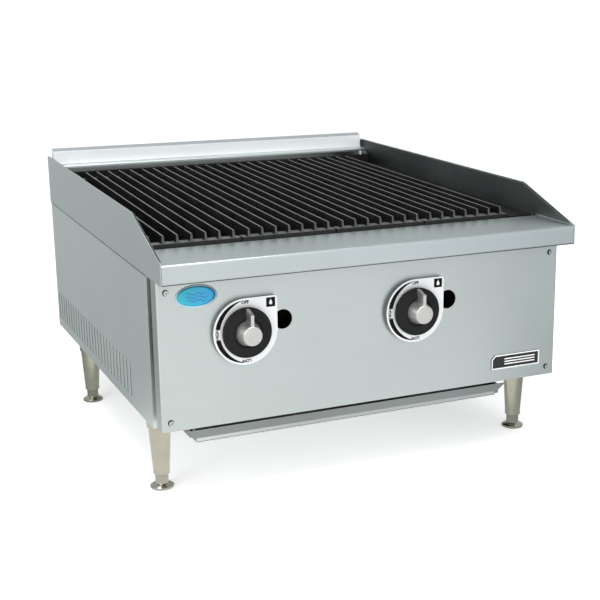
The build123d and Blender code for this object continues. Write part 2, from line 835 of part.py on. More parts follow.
runner_top, runner_front, runner_length = 3.4, 20, 616
runner_web, runner_lip = 3, 14
runner_bottom = tray_bottom - gap - sheet / 2
for hand, pan_x, direction in (("left", tray_left, -1), ("right", tray_right, 1)):
    web_x = pan_x + direction * runner_web
    with BuildPart() as tray_runner:
        with BuildSketch(front.offset(-runner_front)):
            with BuildLine():
                FilletPolyline(
                    (web_x, runner_top),
                    (web_x, runner_bottom),
                    (pan_x - direction * runner_lip, runner_bottom),
                    radius=1,
                )
            trace(line_width=sheet)
        extrude(amount=-runner_length)
    save(tray_runner, f"tray_runner_{hand}")

# ---------------------------------------------------------------- legs and feet
collar_r, leg_top_r, leg_low_r = 17.4, 15.6, 11.6
collar_height, ankle_height, edge_cut = 11, 7, 0.8
leg_top = side_bottom
stud_r, stud_length = 5, 16
bore_top = leg_bottom + 38
flange_r, flange_edge, flange_rise = 16.5, 3.4, 7.4
foot_stem_top = leg_bottom + 28
floor = -panel_z
for end, leg_y in leg_ys.items():
    for hand, sign in hands:
        axis_plane = Plane(origin=at(sign * leg_x, leg_y, 0), x_dir=(1, 0, 0), z_dir=(0, -1, 0))
        axis = Axis(at(sign * leg_x, leg_y, 0), (0, 0, 1))
        with BuildPart() as leg:
            with BuildSketch(axis_plane):
                with BuildLine():
                    Polyline(
                        (0, bore_top),
                        (foot_stem_r + fit, bore_top),
                        (foot_stem_r + fit, leg_bottom),
                        (leg_low_r - edge_cut, leg_bottom),
                        (leg_low_r, leg_bottom + edge_cut),
                        (leg_low_r, leg_bottom + ankle_height),
                        (leg_top_r, leg_top - collar_height),
                        (collar_r - edge_cut, leg_top - collar_height),
                        (collar_r, leg_top - collar_height + edge_cut),
                        (collar_r, leg_top),
                        (stud_r, leg_top),
                        (stud_r, leg_top + stud_length),
                        (0, leg_top + stud_length),
                        close=True,
                    )
                make_face()
            revolve(axis=axis)
        save(leg, f"leg_{end}_{hand}")

        with BuildPart() as foot:
            with BuildSketch(axis_plane):
                with BuildLine():
                    Polyline(
                        (0, floor),
                        (flange_r - 1, floor),
                        (flange_r, floor + 1),
                        (flange_r, floor + flange_edge),
                    )
                    ThreePointArc(
                        (flange_r, floor + flange_edge),
                        (flange_r - 4, floor + 6),
                        (foot_stem_r, floor + flange_rise),
                    )
                    Polyline(
                        (foot_stem_r, floor + flange_rise),
                        (foot_stem_r, foot_stem_top),
                        (0, foot_stem_top),
                        (0, floor),
                    )
                make_face()
            revolve(axis=axis)
        save(foot, f"foot_{end}_{hand}")

nut_r, nut_height = 9, 8
with BuildPart() as leg_nuts:
    for leg_y in leg_ys.values():
        for sign in (-1, 1):
            with BuildSketch(top.offset(side_bottom + sheet)):
                with Locations((sign * leg_x, leg_y)):
                    RegularPolygon(nut_r, 6)
                    Circle(stud_r + fit, mode=Mode.SUBTRACT)
            extrude(amount=nut_height)
save(leg_nuts, "leg_nuts")
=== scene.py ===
"""Countertop gas charbroiler: materials, trim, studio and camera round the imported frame.

Metres, +Z up, -Y towards the cook, X = 0 in the middle. Each added piece takes its place
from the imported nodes. Each material reads object coordinates, so its grain moves with the
piece that wears it.
"""

import json
import math

import bmesh
import bpy
from mathutils import Matrix, Vector


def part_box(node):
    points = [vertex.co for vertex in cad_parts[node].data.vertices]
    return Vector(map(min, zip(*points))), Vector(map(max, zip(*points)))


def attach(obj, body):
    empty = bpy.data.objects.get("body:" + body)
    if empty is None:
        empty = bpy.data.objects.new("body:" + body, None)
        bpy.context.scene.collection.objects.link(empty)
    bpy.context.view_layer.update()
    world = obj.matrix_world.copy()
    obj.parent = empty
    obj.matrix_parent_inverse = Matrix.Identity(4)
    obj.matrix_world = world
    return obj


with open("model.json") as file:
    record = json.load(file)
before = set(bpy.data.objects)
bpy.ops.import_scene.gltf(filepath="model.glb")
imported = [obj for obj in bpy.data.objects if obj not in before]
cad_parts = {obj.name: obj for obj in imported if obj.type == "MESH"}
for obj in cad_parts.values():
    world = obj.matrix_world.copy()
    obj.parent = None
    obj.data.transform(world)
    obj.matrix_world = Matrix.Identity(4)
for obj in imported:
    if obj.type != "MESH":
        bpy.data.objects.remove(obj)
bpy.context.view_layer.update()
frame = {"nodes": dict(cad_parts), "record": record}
nodes = frame["nodes"]
MM = 0.001


# ------------------------------------------------------------------ colour and node helpers
def tint(code):
    """Linear colour from a web colour code."""
    channels = [int(code[i : i + 2], 16) / 255 for i in (1, 3, 5)]
    linear = [c / 12.92 if c <= 0.04045 else ((c + 0.055) / 1.055) ** 2.4 for c in channels]
    return (*linear, 1.0)


def add(tree, kind, inputs=None, **settings):
    """New shader node; inputs maps a socket to a value or to the output that feeds it."""
    made = tree.nodes.new("ShaderNode" + kind)
    for key, value in settings.items():
        setattr(made, key, value)
    for socket, value in (inputs or {}).items():
        if isinstance(value, bpy.types.NodeSocket):
            tree.links.new(value, made.inputs[socket])
        else:
            made.inputs[socket].default_value = value
    return made


def ramp(tree, factor, stops):
    """Colour ramp; stops are (position, colour) pairs."""
    made = add(tree, "ValToRGB", {"Fac": factor})
    elements = made.color_ramp.elements
    while len(elements) < len(stops):
        elements.new(0.5)
    for element, (position, colour) in zip(elements, stops):
        element.position = position
        element.color = colour
    return made.outputs["Color"]


def span(tree, value, low, high, start=0.0, end=1.0):
    """Value brought from start..end to low..high."""
    made = add(
        tree,
        "MapRange",
        {"Value": value, "From Min": start, "From Max": end, "To Min": low, "To Max": high},
    )
    return made.outputs["Result"]


def vary(tree, noise_value, low, high):
    """Noise brought to low..high; most of a noise lies between 0.3 and 0.7."""
    return span(tree, noise_value, low, high, 0.3, 0.7)


def math_node(tree, operation, first, second=0.0):
    """Result of one operation on values or outputs."""
    return add(tree, "Math", {0: first, 1: second}, operation=operation).outputs[0]


def blend_colour(tree, mode, factor, first, second):
    """Two colours mixed in the given mode."""
    made = add(tree, "Mix", data_type="RGBA", blend_type=mode)
    for index, value in ((0, factor), (6, first), (7, second)):
        if isinstance(value, bpy.types.NodeSocket):
            tree.links.new(value, made.inputs[index])
        else:
            made.inputs[index].default_value = value
    return made.outputs[2]


def times(tree, first, second, factor=1.0):
    """Two colours multiplied."""
    return blend_colour(tree, "MULTIPLY", factor, first, second)


def noise(tree, vector, scale, detail=4.0, roughness=0.55, stretch=(1, 1, 1)):
    """Noise between 0 and 1, stretched along the axes whose factor is small."""
    mapped = add(tree, "Mapping", {"Vector": vector, "Scale": stretch})
    made = add(
        tree,
        "TexNoise",
        {
            "Vector": mapped.outputs["Vector"],
            "Scale": scale,
            "Detail": detail,
            "Roughness": roughness,
        },
    )
    return made.outputs["Fac"]


def start_material(name, metallic, roughness, **shader):
    """Empty material with a Principled shader; shader holds its constant sockets."""
    material = bpy.data.materials.new(name)
    material.use_nodes = True
    tree = material.node_tree
    tree.nodes.clear()
    surface = add(tree, "BsdfPrincipled", {"Metallic": metallic, "Roughness": roughness})
    for socket, value in shader.items():
        surface.inputs[socket.replace("_", " ")].default_value = value
    output = add(tree, "OutputMaterial")
    tree.links.new(surface.outputs["BSDF"], output.inputs["Surface"])
    place = add(tree, "TexCoord").outputs["Object"]
    return material, tree, surface, place


def coordinate(tree, vector, axis):
    """One coordinate of a vector."""
    return add(tree, "SeparateXYZ", {"Vector": vector}).outputs[axis]


def facing(tree, axis):
    """How far the surface faces along one of the object's axes, from -1 to 1."""
    return coordinate(tree, add(tree, "TexCoord").outputs["Normal"], axis)


def bump(tree, surface, height, strength, distance, bevel=0.0):
    """Feed a bump to the shader, over softened edges where bevel is given."""
    made = add(tree, "Bump", {"Height": height, "Strength": strength, "Distance": distance})
    if bevel:
        softened = add(tree, "Bevel", {"Radius": bevel}, samples=4)
        tree.links.new(softened.outputs["Normal"], made.inputs["Normal"])
    tree.links.new(made.outputs["Normal"], surface.inputs["Normal"])


# ------------------------------------------------------------------ materials
# noise scales are per metre; bump distances and soft edges are lengths
GRAIN = {"X": (0.012, 1, 1), "Y": (1, 0.012, 1)}
SHEET_EDGE = 0.6 * MM
CASTING_EDGE = 0.4 * MM
FINE_EDGE = 0.3 * MM
MOULDED_EDGE = 0.2 * MM
# colour of the painted shade inside the louvre slots
RECESS_PAINTED_SHADE = "#1f2221"


def brush_along(tree, surface, axis):
    """Turn the shader's anisotropy to a grain along the axis."""
    tangent = add(tree, "Tangent", direction_type="RADIAL", axis=axis)
    tree.links.new(tangent.outputs["Tangent"], surface.inputs["Tangent"])


def brushed_metal(
    name,
    colour,
    axis,
    roughness,
    contrast=0.03,
    smudge=0.035,
    metallic=1.0,
    painted_facing_shade=(),
    depth_shade=None,
    dull_top=0.0,
):
    """Rolled sheet with a fine brushed grain along one axis, faint smudges and soft edges.

    Each of painted_facing_shade paints shade on what faces along an axis: axis, where it starts
    and where it is full, and the colour that it multiplies by. depth_shade paints shade on what
    lies deeper than the outer skin, unless it faces the cook: the skin's distance from
    the middle, and the reach. dull_top is added to the roughness of what faces up.
    """
    material, tree, surface, place = start_material(name, metallic, roughness, Anisotropic=0.55)
    fine = noise(tree, place, 2600, detail=3, roughness=0.7, stretch=GRAIN[axis])
    broad = noise(tree, place, 420, detail=3, roughness=0.6, stretch=GRAIN[axis])
    cloud = noise(tree, place, 5.5, detail=3, roughness=0.5)
    streaks = blend_colour(tree, "MIX", 0.45, fine, broad)
    toned = times(tree, tint(colour), vary(tree, streaks, 1 - contrast, 1 + contrast))
    toned = times(tree, toned, vary(tree, cloud, 1 - smudge, 1 + smudge * 0.6))
    # painted shade: each entry darkens the faces turned along its axis
    for side, start, end, code in painted_facing_shade:
        turned = span(tree, facing(tree, side), 0, 1, start, end)
        toned = times(tree, toned, tint(code), turned)
    # painted shade: metal deeper than the outer skin, in the louvre slots, is darkened
    if depth_shade:
        skin, reach = depth_shade
        across = math_node(tree, "ABSOLUTE", coordinate(tree, place, "X"))
        buried = span(tree, across, 1, 0, skin - reach, skin)
        sideways = span(tree, facing(tree, "Y"), 0, 1, -0.9, -0.7)
        shaded = math_node(tree, "MULTIPLY", buried, sideways)
        toned = times(tree, toned, tint(RECESS_PAINTED_SHADE), shaded)
    tree.links.new(toned, surface.inputs["Base Color"])
    rough = span(tree, streaks, roughness - 0.05, roughness + 0.05, 0.25, 0.75)
    rough = math_node(tree, "ADD", rough, vary(tree, cloud, -0.03, 0.04))
    if dull_top:
        dulled = span(tree, facing(tree, "Z"), 0, dull_top, 0.85, 0.97)
        rough = math_node(tree, "ADD", rough, dulled)
    tree.links.new(rough, surface.inputs["Roughness"])
    brush_along(tree, surface, axis)
    bump(tree, surface, streaks, strength=0.12, distance=0.06 * MM, bevel=SHEET_EDGE)
    return material


def heated_steel(name, low, high, axis, roughness, rear_shade=1.0):
    """Sheet darkened by heat: cloudy tone over a faint grain; painted shade multiplies it by
    rear_shade at the rear.
    """
    material, tree, surface, place = start_material(name, 1.0, roughness, Anisotropic=0.4)
    cloud = noise(tree, place, 7, detail=5)
    streak = noise(tree, place, 700, detail=3, roughness=0.6, stretch=GRAIN[axis])
    base = ramp(tree, cloud, [(0.3, tint(low)), (0.7, tint(high))])
    base = times(tree, base, vary(tree, streak, 0.93, 1.07))
    # painted shade: darker towards the rear, by rear_shade
    painted_rear_shade = span(tree, coordinate(tree, place, "Y"), 1.0, rear_shade, -0.25, 0.25)
    base = times(tree, base, painted_rear_shade)
    tree.links.new(base, surface.inputs["Base Color"])
    rough = vary(tree, cloud, roughness - 0.05, roughness + 0.09)
    tree.links.new(rough, surface.inputs["Roughness"])
    brush_along(tree, surface, axis)
    bump(tree, surface, streak, strength=0.1, distance=0.06 * MM, bevel=SHEET_EDGE)
    return material


def cast_iron(name):
    """Seasoned cast iron: black and sandy, with painted highlights on the ridges and painted light
    on the front faces.
    """
    material, tree, surface, place = start_material(name, 0.1, 0.5, Specular_IOR_Level=0.4)
    sand = noise(tree, place, 900, detail=5, roughness=0.65)
    patch = noise(tree, place, 26, roughness=0.6)
    seasoning = [(0.3, tint("#0a0a0a")), (0.62, tint("#101010")), (0.8, tint("#181717"))]
    base = ramp(tree, patch, seasoning)
    upwards = facing(tree, "Z")
    # painted light: faces towards the cook are lighter, more so where they lean up
    forwards = span(tree, facing(tree, "Y"), 1, 0, -0.95, -0.85)
    leaning = span(tree, upwards, 0, 1, 0.1, 0.16)
    front_painted_light = blend_colour(tree, "MIX", leaning, tint("#242424"), tint("#5c5d5d"))
    base = blend_colour(tree, "MIX", forwards, base, front_painted_light)
    # painted highlight: the upward ridges of the bars are lighter
    ridge = span(tree, upwards, 0, 1, 0.9, 0.97)
    base = blend_colour(tree, "MIX", ridge, base, tint("#6a6b6b"))
    base = times(tree, base, vary(tree, patch, 0.7, 1.15))
    tree.links.new(base, surface.inputs["Base Color"])
    tree.links.new(vary(tree, patch, 0.42, 0.62), surface.inputs["Roughness"])
    bump(tree, surface, sand, strength=0.35, distance=0.35 * MM, bevel=CASTING_EDGE)
    return material


def turned_metal(name, colour, roughness, grain=900, contrast=0.06, smudge=0.08, bevel=SHEET_EDGE):
    """Plated or machined metal with fine speckle, handling marks and soft edges."""
    material, tree, surface, place = start_material(name, 1.0, roughness)
    speckle = noise(tree, place, grain, detail=3, roughness=0.6)
    cloud = noise(tree, place, 45)
    toned = times(tree, tint(colour), vary(tree, speckle, 1 - contrast, 1 + contrast))
    toned = times(tree, toned, vary(tree, cloud, 1 - smudge, 1 + smudge * 0.5))
    tree.links.new(toned, surface.inputs["Base Color"])
    rough = vary(tree, cloud, roughness * 0.8, roughness * 1.25)
    tree.links.new(rough, surface.inputs["Roughness"])
    bump(tree, surface, speckle, strength=0.1, distance=0.08 * MM, bevel=bevel)
    return material


def satin_plate(name, face_colour, wall_shade_colour, metallic=0.25):
    """Satin face towards the cook; the walls round it are painted darker as shade."""
    material, tree, surface, place = start_material(name, metallic, 0.42)
    speckle = noise(tree, place, 1600, detail=3, roughness=0.6)
    cloud = noise(tree, place, 35, detail=3, roughness=0.5)
    forwards = span(tree, facing(tree, "Y"), 1, 0, -0.95, -0.6)
    # painted shade: walls that don't face the cook take the darker colour
    base = blend_colour(tree, "MIX", forwards, tint(wall_shade_colour), tint(face_colour))
    base = times(tree, base, vary(tree, speckle, 0.985, 1.015))
    base = times(tree, base, vary(tree, cloud, 0.97, 1.01))
    tree.links.new(base, surface.inputs["Base Color"])
    tree.links.new(span(tree, forwards, 0.3, 0.45), surface.inputs["Roughness"])
    bump(tree, surface, speckle, strength=0.08, distance=0.05 * MM)
    return material


def plastic(name, colour, roughness, grain=1400, depth=0.08 * MM, coat=0.0, specular=0.5):
    """Moulded plastic, paint or print: fine orange peel and a slightly uneven gloss."""
    material, tree, surface, place = start_material(
        name, 0.0, roughness, Coat_Weight=coat, Specular_IOR_Level=specular
    )
    peel = noise(tree, place, grain, detail=3, roughness=0.5)
    cloud = noise(tree, place, 30, detail=3, roughness=0.5)
    toned = times(tree, tint(colour), vary(tree, cloud, 0.88, 1.1))
    tree.links.new(toned, surface.inputs["Base Color"])
    rough = vary(tree, cloud, roughness * 0.85, roughness * 1.2)
    tree.links.new(rough, surface.inputs["Roughness"])
    bump(tree, surface, peel, strength=0.15, distance=depth, bevel=MOULDED_EDGE)
    return material


def printed_film(name, low, high, left, right):
    """Printed film under a soft gloss: its colour runs from low to high between two X places."""
    material, tree, surface, place = start_material(name, 0.0, 0.25, Coat_Weight=0.3)
    across = span(tree, coordinate(tree, place, "X"), 0, 1, left, right)
    mottle = noise(tree, place, 60, detail=3, roughness=0.5)
    base = ramp(tree, across, [(0.0, tint(low)), (1.0, tint(high))])
    base = times(tree, base, vary(tree, mottle, 0.92, 1.06))
    tree.links.new(base, surface.inputs["Base Color"])
    bump(tree, surface, mottle, strength=0.1, distance=0.1 * MM)
    return material


# ------------------------------------------------------------------ finishes by slot and node
# painted shade: faces turned towards -X, such as the panel's left return, are darkened
PANEL_PAINTED_SHADE = (("X", -0.5, -0.9, "#e3e5e4"),)
# painted shade: the rail's downward faces darken to a dark line, its upward top a little
RAIL_PAINTED_SHADE = (("Z", -0.3, -0.7, "#4a4d4e"), ("Z", 0.85, 0.97, "#e2e4e1"))
# painted shade: the backguard's faces that lean upwards, such as its hem, are darkened
HEM_PAINTED_SHADE = (("Z", 0.2, 0.6, "#a9adae"),)
# painted shade: the tray's upright front plate, under the control panel, is darkened
TRAY_PAINTED_SHADE = (("Y", -0.93, -0.97, "#c2c6c5"),)
SIDE_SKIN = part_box("right_side_panel")[1].x - 0.2 * MM
SIDE_REACH = 1.4 * MM

steel_x = brushed_metal("steel_grain_x", "#d8e0de", "X", 0.33)
steel_y = brushed_metal("steel_grain_y", "#d6dedc", "Y", 0.34)
panel_steel = brushed_metal("steel_panel", "#d6dedc", "X", 0.33, painted_facing_shade=PANEL_PAINTED_SHADE)
louvre_steel = brushed_metal(
    "steel_louvre", "#e4ece9", "Y", 0.36, depth_shade=(SIDE_SKIN, SIDE_REACH)
)
rail_steel = brushed_metal(
    "steel_rail", "#d3dbdc", "X", 0.33, contrast=0.02, painted_facing_shade=RAIL_PAINTED_SHADE, dull_top=0.05
)
# painted light: a whiter, less metallic copy of the stainless steel for the strongly lit backguard
lit_backguard_steel = brushed_metal(
    "steel_backguard", "#fafdff", "X", 0.34, contrast=0.02, metallic=0.3, painted_facing_shade=HEM_PAINTED_SHADE
)
inner_steel = brushed_metal("steel_inner", "#a9aaa7", "Y", 0.42, contrast=0.08, smudge=0.14)
tray_steel = brushed_metal(
    "steel_tray", "#cdd0cf", "X", 0.36, contrast=0.05, smudge=0.08, painted_facing_shade=TRAY_PAINTED_SHADE
)
# the liners' rear is painted darker as shade
liner_steel = heated_steel("steel_liner", "#757a79", "#838887", "Y", 0.46, rear_shade=0.34)
deck_steel = heated_steel("steel_deck", "#2b2a29", "#3a3836", "Y", 0.5)
firebox_steel = heated_steel("steel_firebox", "#4a4a48", "#6a6761", "X", 0.42)
radiant_steel = heated_steel("steel_radiant", "#6b5a4c", "#8b8378", "Y", 0.42)
burner_steel = heated_steel("steel_burner", "#77716a", "#9a948a", "Y", 0.40)
grate_iron = cast_iron("iron_grate")
pipe_black = plastic("paint_pipe", "#1c1c1c", 0.42, grain=500, depth=0.2 * MM)
brass = turned_metal("brass_valve", "#c9a86a", 0.30)
# painted shade: the screw heads' sides and cross slots are near black
screw_metal = satin_plate("steel_screw", "#d9dcdc", "#1d1e1e", metallic=0.9)
knob_black = plastic("plastic_knob", "#0a0a0a", 0.5, specular=0.35)
knob_metal = turned_metal(
    "aluminium_knob", "#e4e2df", 0.44, grain=1500, contrast=0.04, bevel=FINE_EDGE
)
# painted shade: the dial bezel's walls are darker than its face, though both are aluminium
dial_metal = satin_plate("aluminium_dial", "#f3f5f6", "#5c6061")
trim_enamel = plastic("enamel_trim", "#f2f3f3", 0.35, grain=1800, depth=0.04 * MM)
leg_metal = turned_metal("nickel_leg", "#c9c6b4", 0.16, grain=700, contrast=0.02)
thread_metal = turned_metal("steel_thread", "#8f9294", 0.3)
foot_metal = turned_metal("chrome_foot", "#bab6aa", 0.12, grain=700, contrast=0.03, smudge=0.05)
badge_black = plastic("enamel_badge", "#121314", 0.25, grain=900, depth=0.05 * MM, coat=0.4)
print_black = plastic("print_black", "#060606", 0.6, specular=0.2)
print_white = plastic("print_white", "#f4f4f2", 0.40)
# near-black material for the strips that stand in for the shadow under the guards' lower edges
shadow_strip_grey = plastic("painted_shadow_grey", "#1d1f20", 0.6, grain=700, depth=0.2 * MM)

finish_by_slot = {
    "stainless": steel_x,
    "liner_steel": firebox_steel,
    "backguard_steel": lit_backguard_steel,
    "inner_steel": inner_steel,
    "grate_iron": grate_iron,
    "radiant_steel": radiant_steel,
    "burner_steel": burner_steel,
    "pipe_iron": pipe_black,
    "brass": brass,
    "knob_black": knob_black,
    "knob_metal": knob_metal,
    "dial_silver": dial_metal,
    "leg_nickel": leg_metal,
    "foot_chrome": foot_metal,
    "screw_steel": screw_metal,
    "badge_black": badge_black,
    "tray_steel": tray_steel,
}
finish_by_node = {
    "front_rail": rail_steel,
    "left_guard": steel_y,
    "right_guard": steel_y,
    "left_side_panel": louvre_steel,
    "right_side_panel": louvre_steel,
    "left_liner": liner_steel,
    "right_liner": liner_steel,
    "front_panel": panel_steel,
    "right_deck": deck_steel,
    "firebox_rear": deck_steel,
}
for part in frame["record"]["subparts"]:
    name = part["node"]
    worn_by = nodes[name].data.materials
    worn_by.clear()
    worn_by.append(finish_by_node.get(name, finish_by_slot[part["material_slot"]]))

# ------------------------------------------------------------------ mesh helpers
FACING_FRONT = Matrix.Rotation(math.radians(90), 4, "X")


def finish_piece(name, mesh, material, body, smooth=False):
    """Object from a mesh in the frame, with its material, body and slot."""
    mesh.materials.clear()
    mesh.materials.append(material)
    for polygon in mesh.polygons:
        polygon.use_smooth = smooth
    piece = bpy.data.objects.new(name, mesh)
    bpy.context.scene.collection.objects.link(piece)
    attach(piece, body)


def finish_shape(name, shape, place, material, smooth=False):
    """Piece of the body from a closed bmesh shape, moved to its place."""
    bmesh.ops.recalc_face_normals(shape, faces=shape.faces)
    shape.transform(place)
    mesh = bpy.data.meshes.new(name)
    shape.to_mesh(mesh)
    shape.free()
    finish_piece(name, mesh, material, "body", smooth)


def loft(name, sections, place, material, closed=False):
    """Solid through a row of sections with equal counts of points; closed joins its ends."""
    shape = bmesh.new()
    rows = [[shape.verts.new(point) for point in section] for section in sections]
    count = len(rows[0])
    pairs = list(zip(rows, rows[1:]))
    if closed:
        pairs.append((rows[-1], rows[0]))
    else:
        shape.faces.new(reversed(rows[0]))
        shape.faces.new(rows[-1])
    for first, second in pairs:
        for i in range(count):
            j = (i + 1) % count
            shape.faces.new((first[i], first[j], second[j], second[i]))
    finish_shape(name, shape, place, material)


def band(name, inner, outer, place, thickness, material, closed=False):
    """Flat strip between two rows of points in the place's XY plane, with a thickness."""
    sections = []
    for near, far in zip(inner, outer):
        sections.append([(*near, 0), (*far, 0), (*far, thickness), (*near, thickness)])
    loft(name, sections, place, material, closed)


def plate(name, points, place, thickness, material):
    """Flat plate with the given outline in the place's XY plane."""
    sections = [[(x, y, height) for x, y in points] for height in (0, thickness)]
    loft(name, sections, place, material)


def polar(radius, degrees):
    """Point at a radius and an angle, anticlockwise from the right."""
    angle = math.radians(degrees)
    return (radius * math.cos(angle), radius * math.sin(angle))


# ------------------------------------------------------------------ dial markings
PRINT_HEIGHT = 0.08 * MM
ARC_OUTER, ARC_INNER = 41.9 * MM, 35.7 * MM
ARC_STEPS, ARC_TAPER, ARC_CURVE = 24, 0.95, 2.2
HIGH_ARC = (170, 96)
LOW_ARC = (191, 266)
WORD_ANGLES = (("OFF", 90), ("HIGH", 180.5), ("LOW", 270))
LETTER_SIZE, LETTER_R = 5.7 * MM, 39.2 * MM
LETTER_RISE, LETTER_WEIGHT = 0.05 * MM, 0.27 * MM
ICON_HALF, ICON_CORNER = 6.3 * MM, 0.6 * MM
ICON_FROM_RIGHT, ICON_FROM_TOP = 9 * MM, 8.6 * MM
FLAME_HALF_WIDTH, FLAME_HALF_HEIGHT, FLAME_LIFT = 3.2 * MM, 3.9 * MM, 0.6 * MM
FLAME_POINT = 1.6


def lettering(name, words, size, place, material):
    """Raised letters centred on the place's origin."""
    curve = bpy.data.curves.new(name, "FONT")
    curve.body = words
    curve.size = size
    curve.extrude = LETTER_RISE
    curve.offset = LETTER_WEIGHT
    curve.align_x = "CENTER"
    curve.align_y = "CENTER"
    drawn = bpy.data.objects.new(name + "_curve", curve)
    bpy.context.scene.collection.objects.link(drawn)
    bpy.context.view_layer.update()
    evaluated = drawn.evaluated_get(bpy.context.evaluated_depsgraph_get())
    mesh = bpy.data.meshes.new_from_object(evaluated)
    bpy.data.objects.remove(drawn)
    mesh.name = name
    mesh.transform(place)
    finish_piece(name, mesh, material, "body")


def tapered_arc(name, wide_end, thin_end, place):
    """Arc that narrows from full width at one angle to a hairline at the other."""
    inner, outer = [], []
    for step in range(ARC_STEPS + 1):
        share = step / ARC_STEPS
        angle = wide_end + (thin_end - wide_end) * share
        outer.append(polar(ARC_OUTER, angle))
        growth = ARC_TAPER * share**ARC_CURVE
        inner.append(polar(ARC_INNER + (ARC_OUTER - ARC_INNER) * growth, angle))
    band(name, inner, outer, place, PRINT_HEIGHT, print_black)


def flame_outline(half_width, half_height, steps=28):
    """Teardrop with its tip up, centred on the origin."""
    points = []
    for step in range(steps):
        turn = 2 * math.pi * step / steps
        x = half_width * math.sin(turn) * math.sin(turn / 2) ** FLAME_POINT
        points.append((x, half_height * math.cos(turn)))
    return points


def rounded_square(half, corner, steps=5):
    """Square with rounded corners, anticlockwise."""
    points = []
    for quarter, (sx, sy) in enumerate(((1, 1), (-1, 1), (-1, -1), (1, -1))):
        for step in range(steps + 1):
            x, y = polar(corner, 90 * quarter + 90 * step / steps)
            points.append((sx * (half - corner) + x, sy * (half - corner) + y))
    return points


def dial_markings(hand):
    """Two arcs, three words and a flame sign on one dial plate."""
    low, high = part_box(f"dial_plate_{hand}")
    centre = Vector(((low.x + high.x) / 2, low.y, (low.z + high.z) / 2))
    face = Matrix.Translation(centre) @ FACING_FRONT
    tapered_arc(f"dial_arc_high_{hand}", *HIGH_ARC, face)
    tapered_arc(f"dial_arc_low_{hand}", *LOW_ARC, face)
    for word, angle in WORD_ANGLES:
        x, y = polar(LETTER_R, angle)
        upright = Matrix.Rotation(math.radians(angle - 90), 4, "Z")
        spot = face @ Matrix.Translation((x, y, 0)) @ upright
        word_name = f"dial_{word.lower()}_{hand}"
        lettering(word_name, word, LETTER_SIZE, spot, print_black)
    icon_x = high.x - centre.x - ICON_FROM_RIGHT
    icon_y = high.z - centre.z - ICON_FROM_TOP
    icon = face @ Matrix.Translation((icon_x, icon_y, 0))
    square = rounded_square(ICON_HALF, ICON_CORNER)
    plate(f"dial_icon_{hand}", square, icon, PRINT_HEIGHT, print_black)
    raised = icon @ Matrix.Translation((0, FLAME_LIFT, PRINT_HEIGHT))
    flame = flame_outline(FLAME_HALF_WIDTH, FLAME_HALF_HEIGHT)
    plate(f"dial_flame_{hand}", flame, raised, PRINT_HEIGHT, print_white)


dial_markings("left")
dial_markings("right")

# ------------------------------------------------------------------ badge border and bars
BADGE_CUT = 6 * MM
BORDER_INNER, BORDER_OUTER, BORDER_HEIGHT = 1.9 * MM, 0.2 * MM, 0.25 * MM
BAR_LEFT_GAP, BAR_RIGHT_GAP = 22 * MM, 8 * MM
BAR_HALF, BAR_HEIGHT = 0.8 * MM, 0.2 * MM
BAR_SHARES = (0.32, 0.5, 0.68)
badge_low, badge_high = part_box("badge")
badge_face = Matrix.Translation((0, badge_low.y, 0)) @ FACING_FRONT


def badge_outline(inset):
    """Outline of the badge with its upper left corner cut, moved inwards."""
    left, right = badge_low.x + inset, badge_high.x - inset
    bottom, top = badge_low.z + inset, badge_high.z - inset
    cut = BADGE_CUT - inset * (2 - math.sqrt(2))
    return [(left, bottom), (right, bottom), (right, top), (left + cut, top), (left, top - cut)]


band(
    "badge_border",
    badge_outline(BORDER_INNER),
    badge_outline(BORDER_OUTER),
    badge_face,
    BORDER_HEIGHT,
    trim_enamel,
    closed=True,
)
bar_left, bar_right = badge_low.x + BAR_LEFT_GAP, badge_high.x - BAR_RIGHT_GAP
for bar, share in enumerate(BAR_SHARES):
    middle = badge_low.z + (badge_high.z - badge_low.z) * share
    outline = [
        (bar_left, middle - BAR_HALF),
        (bar_right, middle - BAR_HALF),
        (bar_right, middle + BAR_HALF),
        (bar_left, middle + BAR_HALF),
    ]
    plate(f"badge_bar_{bar + 1}", outline, badge_face, BAR_HEIGHT, trim_enamel)

# ------------------------------------------------------------------ oval sticker
panel_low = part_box("front_panel")[0]
STICKER_X = panel_low.x + 53 * MM
STICKER_Z = panel_low.z + 176.5 * MM
STICKER_HALF_WIDTH, STICKER_HALF_HEIGHT = 28.5 * MM, 15.5 * MM
STICKER_ENDS = (STICKER_X - STICKER_HALF_WIDTH, STICKER_X + STICKER_HALF_WIDTH)
RIM_WIDTH, RIM_HEIGHT = 2.4 * MM, 2.2 * MM
RIM_LIFT, RIM_CROWN = 0.02 * MM, 0.18 * MM
FACE_LIFT, FACE_CROWN = 0.1 * MM, 0.2 * MM
WAVES = ((3.2 * MM, 13 * MM), (-1.2 * MM, 16 * MM), (-5.6 * MM, 13 * MM))
WAVE_SWING, WAVE_LIFT, WAVE_THICKNESS, WAVE_STEPS = 1.1 * MM, 0.29 * MM, 0.04 * MM, 32
WAVE_HALF, WAVE_TIP_HALF = 0.9 * MM, 0.1 * MM


def sticker_place(lift):
    """Middle of the sticker, a little ahead of the control panel."""
    return Matrix.Translation((STICKER_X, panel_low.y - lift, STICKER_Z)) @ FACING_FRONT


def oval(name, half_width, half_height, lift, crown, material, rings=6, steps=56):
    """Low domed oval on the control panel."""
    shape = bmesh.new()
    top = shape.verts.new((0, 0, crown))
    previous = None
    for ring in range(1, rings + 1):
        share = ring / rings
        height = crown * (1 - share**4)
        current = []
        for step in range(steps):
            x, y = polar(share, 360 * step / steps)
            current.append(shape.verts.new((x * half_width, y * half_height, height)))
        for i in range(steps):
            j = (i + 1) % steps
            if previous is None:
                shape.faces.new((top, current[i], current[j]))
            else:
                shape.faces.new((previous[i], current[i], current[j], previous[j]))
        previous = current
    shape.faces.new(reversed(previous))
    finish_shape(name, shape, sticker_place(lift), material, smooth=True)


